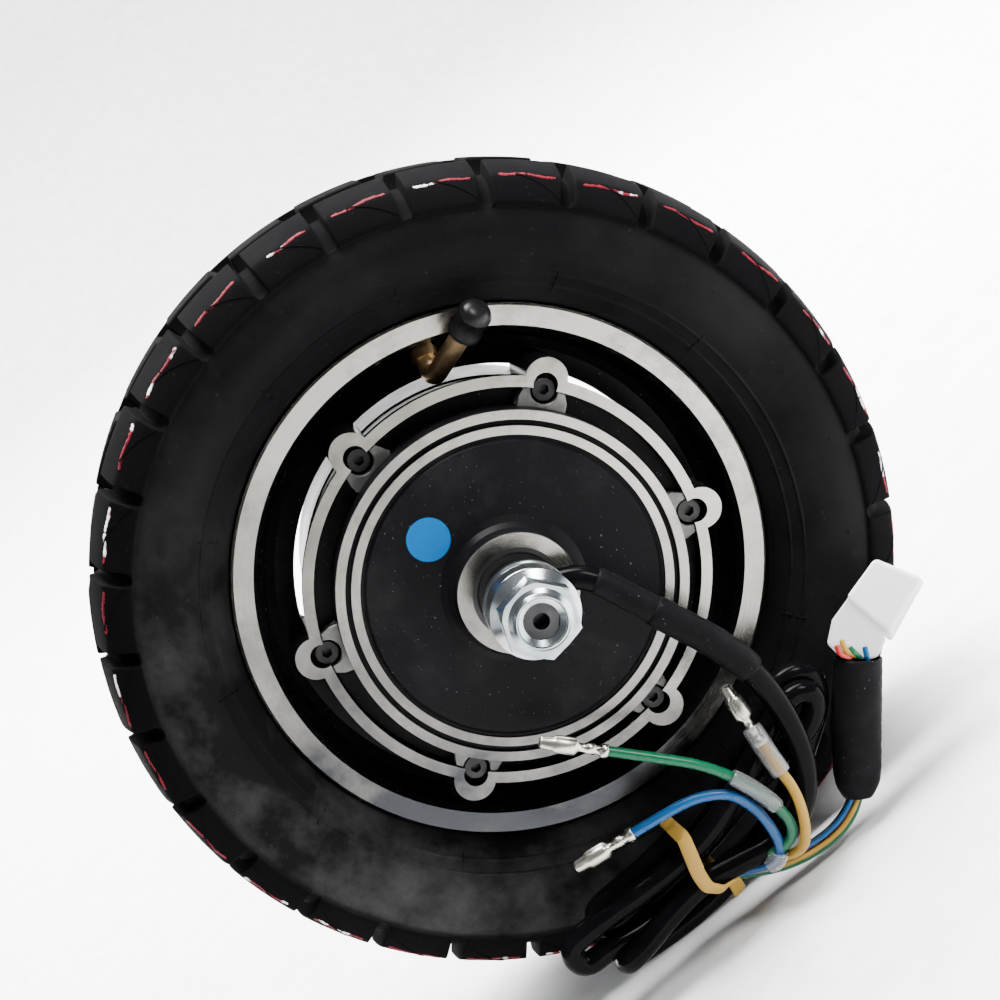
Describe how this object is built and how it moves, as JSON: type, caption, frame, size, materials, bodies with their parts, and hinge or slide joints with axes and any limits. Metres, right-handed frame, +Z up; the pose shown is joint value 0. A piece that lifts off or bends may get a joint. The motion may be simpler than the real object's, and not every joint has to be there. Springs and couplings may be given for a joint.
{
  "type": "hub motor wheel",
  "caption": "Brushless hub motor wheel with a knobbly pneumatic tyre, a bent valve, a bolted front cover and a tied motor cable ending in bullets and a plug.",
  "frame": {"origin": "the wheel's centre, on the axle line", "axes": "+Y along the axle towards the rear, blind side; the cable leaves on the -Y side; +Z up; the wheel stands on its tread at Z = -127.5 mm"},
  "size_m": [0.255, 0.186, 0.255],
  "materials": {
    "tyre_rubber": "moulded black rubber, satin",
    "tube_rubber": "butyl rubber",
    "cast_aluminium": "die cast, gloss black paint with machined faces",
    "cover_paint": "die cast, satin black paint with machined rings",
    "gasket_paper": "fibre gasket",
    "black_steel": "black oxide",
    "zinc_steel": "bright zinc plate",
    "axle_steel": "turned steel",
    "silicon_steel": "laminated",
    "spider_aluminium": "die cast",
    "copper_enamel": "enamelled copper",
    "board_green": "glass epoxy",
    "sensor_black": "moulded",
    "magnet_nickel": "nickel plate",
    "bearing_steel": "ground",
    "cage_steel": "pressed",
    "seal_rubber": "nitrile rubber",
    "valve_brass": "plated brass",
    "cap_plastic": "moulded",
    "label_blue": "paper label",
    "sheath_black": "gloss pvc sheath",
    "shrink_black": "heat shrink",
    "band_rubber": "natural rubber",
    "wire_blue": "silicone insulation",
    "wire_green": "silicone insulation",
    "wire_yellow": "silicone insulation",
    "wire_red": "pvc insulation",
    "wire_black": "pvc insulation",
    "tinned_brass": "tinned",
    "clear_sleeve": "clear pvc",
    "nylon_white": "nylon"
  },
  "bodies": {
    "axle": {"axle": "axle_steel", "bullet_blue": "tinned_brass", "bullet_green": "tinned_brass", "bullet_sleeve_blue": "clear_sleeve", "bullet_sleeve_green": "clear_sleeve", "bullet_sleeve_yellow": "clear_sleeve", "bullet_yellow": "tinned_brass", "cable_grommet": "seal_rubber", "cable_hank": "sheath_black", "cable_lead": "sheath_black", "connector_housing": "nylon_white", "connector_receptacle": "nylon_white", "front_bearing_inner": "bearing_steel", "front_lock_washer": "zinc_steel", "front_nut": "zinc_steel", "front_spacer": "zinc_steel", "front_washer": "zinc_steel", "hall_board": "board_green", "hall_sensors": "sensor_black", "hall_sleeve": "shrink_black", "hall_wire_black": "wire_black", "hall_wire_blue": "wire_blue", "hall_wire_green": "wire_green", "hall_wire_red": "wire_red", "hall_wire_yellow": "wire_yellow", "lead_sleeve_thick": "shrink_black", "lead_sleeve_thin": "shrink_black", "phase_wire_blue": "wire_blue", "phase_wire_green": "wire_green", "phase_wire_yellow": "wire_yellow", "rear_bearing_inner": "bearing_steel", "rear_nut": "zinc_steel", "rear_washer": "zinc_steel", "rubber_band": "band_rubber", "stator_carrier": "spider_aluminium", "stator_core": "silicon_steel", "stator_key": "axle_steel", "stator_windings": "copper_enamel"},
    "wheel": {"tyre": "tyre_rubber", "inner_tube": "tube_rubber", "hub_casting": "cast_aluminium", "front_cover": "cover_paint", "cover_gasket": "gasket_paper", "cover_screws": "black_steel", "flux_ring": "axle_steel", "magnets": "magnet_nickel", "front_bearing_outer": "bearing_steel", "rear_bearing_outer": "bearing_steel", "front_seal": "seal_rubber", "rear_seal": "seal_rubber", "inspection_label": "label_blue", "valve_stem": "valve_brass", "valve_collar": "valve_brass"},
    "front_cage": {"front_bearing_cage": "cage_steel", "front_bearing_balls": "bearing_steel"},
    "rear_cage": {"rear_bearing_cage": "cage_steel", "rear_bearing_balls": "bearing_steel"},
    "valve_pin": {"valve_pin": "valve_brass"},
    "valve_cap": {"valve_cap": "cap_plastic"}
  },
  "joints": [
    {"name": "wheel_spin", "type": "hinge", "parent": "axle", "child": "wheel", "pos_m": [0, 0, 0], "axis": [0, 1, 0], "continuous": true},
    {"name": "front_cage_spin", "type": "hinge", "parent": "axle", "child": "front_cage", "pos_m": [0, -0.0419, 0], "axis": [0, 1, 0], "continuous": true},
    {"name": "rear_cage_spin", "type": "hinge", "parent": "axle", "child": "rear_cage", "pos_m": [0, 0.0419, 0], "axis": [0, 1, 0], "continuous": true},
    {"name": "valve_cap_lift", "type": "slide", "parent": "wheel", "child": "valve_cap", "axis": [0.6246, -0.7063, 0.3332], "range_m": [0, 0.012]},
    {"name": "valve_pin_press", "type": "slide", "parent": "wheel", "child": "valve_pin", "axis": [-0.6246, 0.7063, -0.3332], "range_m": [0, 0.0005], "stiffness_N_per_m": 400}
  ],
  "couplings": [
    {"joint": "front_cage_spin", "follows": "wheel_spin", "ratio": 0.5904},
    {"joint": "rear_cage_spin", "follows": "wheel_spin", "ratio": 0.5904}
  ]
}
